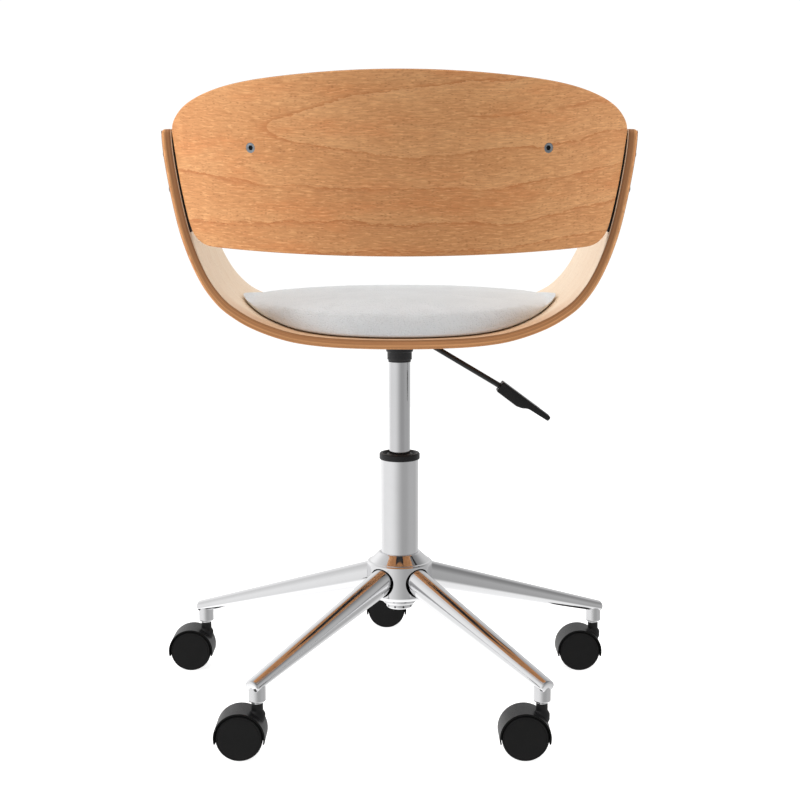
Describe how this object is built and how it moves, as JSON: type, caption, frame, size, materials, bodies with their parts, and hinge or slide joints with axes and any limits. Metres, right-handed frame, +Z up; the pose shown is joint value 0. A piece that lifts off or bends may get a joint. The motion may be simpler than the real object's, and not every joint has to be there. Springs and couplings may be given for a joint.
{
  "type": "swivel chair",
  "caption": "Low-backed office chair: bent plywood seat shell with arms, upholstered seat, gas lift with lever, star base on twin-wheel castors.",
  "frame": {"origin": "on the floor, under the axis of the column", "axes": "+Z up along the column, +Y to the chair's front, +X to the side that carries the height lever"},
  "size_m": [0.6169, 0.6217, 0.8021],
  "materials": {
    "beech_plywood": "beech veneer, satin lacquer",
    "upholstery": "white, fine grain, matt",
    "chrome": "polished",
    "zinc_screw": "zinc plated",
    "steel_part": "ground",
    "black_metal": "black powder coat, satin",
    "black_plastic": "black, satin",
    "castor_hood": "dark grey, fine grain",
    "castor_disc": "black",
    "black_rubber": "black",
    "white_plastic": "natural, unseen"
  },
  "bodies": {
    "base": {"base_hub": "chrome", "base_arm_1": "chrome", "base_arm_2": "chrome", "base_arm_3": "chrome", "base_arm_4": "chrome", "base_arm_5": "chrome", "arm_root_rings": "black_rubber", "hub_lower_collar": "chrome", "column_tube": "chrome", "column_collar": "black_plastic", "guide_sleeve": "white_plastic", "thrust_bearing": "steel_part", "castor_stem_1": "steel_part", "castor_stem_2": "steel_part", "castor_stem_3": "steel_part", "castor_stem_4": "steel_part", "castor_stem_5": "steel_part"},
    "piston": {"piston_rod": "steel_part", "piston_head": "white_plastic", "retaining_clip": "steel_part"},
    "seat": {"gas_cylinder": "chrome", "cylinder_end_cap": "black_plastic", "taper_socket": "black_metal", "seat_plate": "black_metal", "plate_bolts": "zinc_screw", "lever_pivot_pin": "steel_part", "seat_shell": "beech_plywood", "arm_screws": "zinc_screw", "seat_cushion": "upholstery", "back_panel": "beech_plywood", "back_bolts": "zinc_screw", "back_pad_board": "beech_plywood", "back_pad": "upholstery", "back_t_nuts": "zinc_screw", "panel_gasket_left": "black_rubber", "panel_gasket_right": "black_rubber"},
    "lever": {"lever_rod": "black_metal", "lever_handle": "black_plastic"},
    "valve": {"release_pin": "steel_part"},
    "castor_1": {"castor_frame_1": "castor_hood", "castor_axle_1": "steel_part"},
    "wheel_1_rear": {"castor_wheel_1_rear": "castor_disc"},
    "wheel_1_front": {"castor_wheel_1_front": "castor_disc"},
    "castor_2": {"castor_frame_2": "castor_hood", "castor_axle_2": "steel_part"},
    "wheel_2_rear": {"castor_wheel_2_rear": "castor_disc"},
    "wheel_2_front": {"castor_wheel_2_front": "castor_disc"},
    "castor_3": {"castor_frame_3": "castor_hood", "castor_axle_3": "steel_part"},
    "wheel_3_rear": {"castor_wheel_3_rear": "castor_disc"},
    "wheel_3_front": {"castor_wheel_3_front": "castor_disc"},
    "castor_4": {"castor_frame_4": "castor_hood", "castor_axle_4": "steel_part"},
    "wheel_4_rear": {"castor_wheel_4_rear": "castor_disc"},
    "wheel_4_front": {"castor_wheel_4_front": "castor_disc"},
    "castor_5": {"castor_frame_5": "castor_hood", "castor_axle_5": "steel_part"},
    "wheel_5_rear": {"castor_wheel_5_rear": "castor_disc"},
    "wheel_5_front": {"castor_wheel_5_front": "castor_disc"}
  },
  "joints": [
    {"name": "seat_swivel", "type": "hinge", "parent": "base", "child": "piston", "pos_m": [0, 0, 0.14], "axis": [0, 0, 1], "continuous": true},
    {"name": "seat_lift", "type": "slide", "parent": "piston", "child": "seat", "axis": [0, 0, 1], "range_m": [-0.11, 0]},
    {"name": "height_lever", "type": "hinge", "parent": "seat", "child": "lever", "pos_m": [0.024, 0, 0.4827], "axis": [0, -1, 0], "range_deg": [0, 7], "stiffness_Nm_per_rad": 1.2, "springref_deg": -8.59},
    {"name": "valve_press", "type": "slide", "parent": "seat", "child": "valve", "axis": [0, 0, 1], "range_m": [-0.0035, 0]},
    {"name": "castor_swivel_1", "type": "hinge", "parent": "base", "child": "castor_1", "pos_m": [0, 0.29, 0.05], "axis": [0, 0, 1], "continuous": true},
    {"name": "wheel_spin_1_rear", "type": "hinge", "parent": "castor_1", "child": "wheel_1_rear", "pos_m": [-0.0205, 0.29, 0.0283], "axis": [0, 1, 0], "continuous": true},
    {"name": "wheel_spin_1_front", "type": "hinge", "parent": "castor_1", "child": "wheel_1_front", "pos_m": [-0.0205, 0.29, 0.0283], "axis": [0, 1, 0], "continuous": true},
    {"name": "castor_swivel_2", "type": "hinge", "parent": "base", "child": "castor_2", "pos_m": [0.27581, 0.08962, 0.05], "axis": [0, 0, 1], "continuous": true},
    {"name": "wheel_spin_2_rear", "type": "hinge", "parent": "castor_2", "child": "wheel_2_rear", "pos_m": [0.25531, 0.08962, 0.0283], "axis": [0, 1, 0], "continuous": true},
    {"name": "wheel_spin_2_front", "type": "hinge", "parent": "castor_2", "child": "wheel_2_front", "pos_m": [0.25531, 0.08962, 0.0283], "axis": [0, 1, 0], "continuous": true},
    {"name": "castor_swivel_3", "type": "hinge", "parent": "base", "child": "castor_3", "pos_m": [0.17046, -0.23461, 0.05], "axis": [0, 0, 1], "continuous": true},
    {"name": "wheel_spin_3_rear", "type": "hinge", "parent": "castor_3", "child": "wheel_3_rear", "pos_m": [0.14996, -0.23461, 0.0283], "axis": [0, 1, 0], "continuous": true},
    {"name": "wheel_spin_3_front", "type": "hinge", "parent": "castor_3", "child": "wheel_3_front", "pos_m": [0.14996, -0.23461, 0.0283], "axis": [0, 1, 0], "continuous": true},
    {"name": "castor_swivel_4", "type": "hinge", "parent": "base", "child": "castor_4", "pos_m": [-0.17046, -0.23461, 0.05], "axis": [0, 0, 1], "continuous": true},
    {"name": "wheel_spin_4_rear", "type": "hinge", "parent": "castor_4", "child": "wheel_4_rear", "pos_m": [-0.19096, -0.23461, 0.0283], "axis": [0, 1, 0], "continuous": true},
    {"name": "wheel_spin_4_front", "type": "hinge", "parent": "castor_4", "child": "wheel_4_front", "pos_m": [-0.19096, -0.23461, 0.0283], "axis": [0, 1, 0], "continuous": true},
    {"name": "castor_swivel_5", "type": "hinge", "parent": "base", "child": "castor_5", "pos_m": [-0.27581, 0.08962, 0.05], "axis": [0, 0, 1], "continuous": true},
    {"name": "wheel_spin_5_rear", "type": "hinge", "parent": "castor_5", "child": "wheel_5_rear", "pos_m": [-0.29631, 0.08962, 0.0283], "axis": [0, 1, 0], "continuous": true},
    {"name": "wheel_spin_5_front", "type": "hinge", "parent": "castor_5", "child": "wheel_5_front", "pos_m": [-0.29631, 0.08962, 0.0283], "axis": [0, 1, 0], "continuous": true}
  ],
  "couplings": [
    {"joint": "valve_press", "follows": "height_lever", "m_per_rad": -0.0255}
  ]
}
